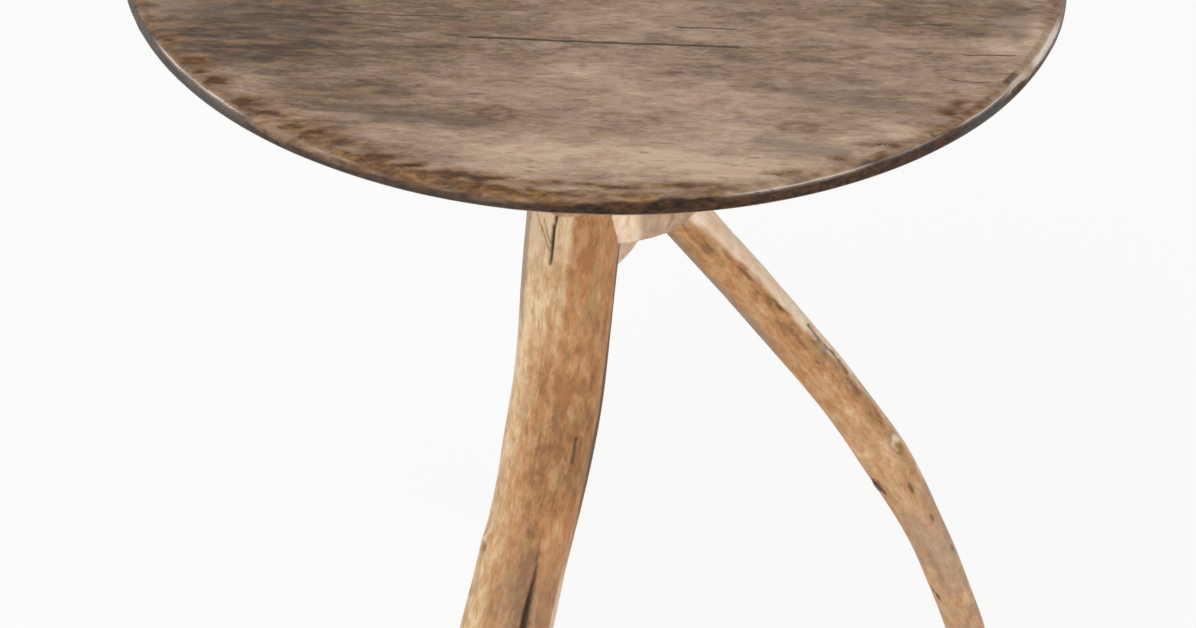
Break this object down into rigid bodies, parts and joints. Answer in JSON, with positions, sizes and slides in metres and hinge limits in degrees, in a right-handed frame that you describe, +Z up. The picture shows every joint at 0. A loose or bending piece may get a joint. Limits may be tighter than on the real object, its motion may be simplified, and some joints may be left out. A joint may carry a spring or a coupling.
{
  "type": "rustic hickory side table",
  "caption": "Round plank-top side table on a natural tripod: one thick fluted pole and two thin crooked branches pegged into a short trunk under the top.",
  "frame": {"origin": "on the floor, at the middle of the table's footprint (the bottom centre of its bounding box)", "axes": "+Z up; +X towards the thin right leg and along the boards' grain; -Y towards the thick front leg's side, where the picture was taken"},
  "size_m": [0.6253, 0.6098, 0.635],
  "materials": {
    "weathered_board": "weathered, hand-rubbed oil, grain along X",
    "hickory_pole": "peeled and dried pole, lightly oiled",
    "underside_wood": "sawn hardwood, unfinished",
    "screw_steel": "plain slotted wood screws, dulled"
  },
  "bodies": {
    "root": {"board_front": "weathered_board", "board_middle": "weathered_board", "board_rear": "weathered_board", "dowels_front": "underside_wood", "dowels_rear": "underside_wood", "cleat_left": "underside_wood", "cleat_right": "underside_wood", "cleat_screws_left": "screw_steel", "cleat_screws_right": "screw_steel", "mounting_block": "underside_wood", "block_screws": "screw_steel", "trunk_hub": "hickory_pole", "tenon_wedge": "underside_wood", "leg_front": "hickory_pole", "leg_right": "hickory_pole", "leg_rear": "hickory_pole", "peg_front": "underside_wood", "peg_right": "underside_wood", "peg_rear": "underside_wood"}
  },
  "joints": []
}
